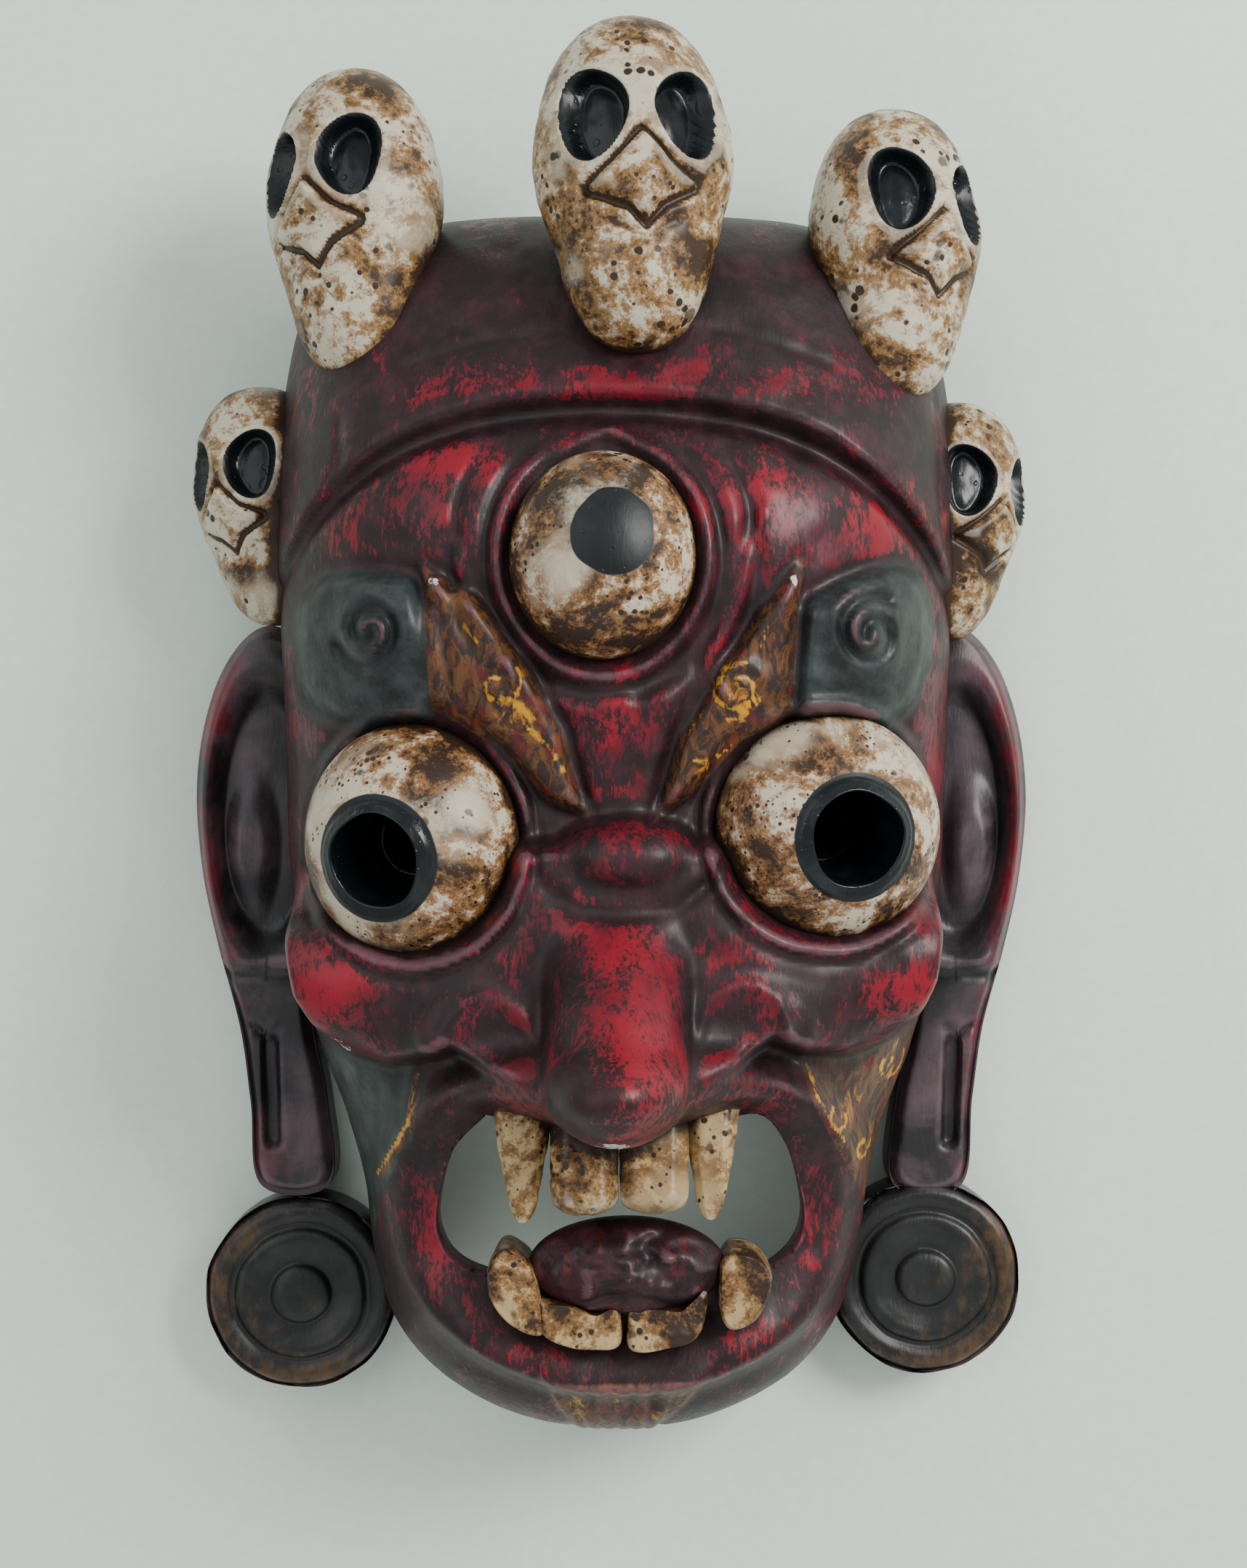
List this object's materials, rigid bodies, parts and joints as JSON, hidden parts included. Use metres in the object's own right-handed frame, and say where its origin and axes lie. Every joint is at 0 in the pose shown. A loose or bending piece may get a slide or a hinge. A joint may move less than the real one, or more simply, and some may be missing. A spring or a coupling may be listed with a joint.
{
  "type": "tibetan cham mask",
  "caption": "Carved and painted wooden dance mask of a wrathful three-eyed deity with a crown of skulls, open at the mouth and pupils, lying on its flat back.",
  "frame": {"origin": "centre of the mask's outline on the plane that its flat back rests on", "axes": "+Y from chin to crown, +Z out of the face, +X to the viewer's right"},
  "size_m": [0.2692, 0.4271, 0.1605],
  "materials": {
    "painted_wood": "lacquered, antiqued"
  },
  "bodies": {
    "root": {"mask": "painted_wood"}
  },
  "joints": []
}
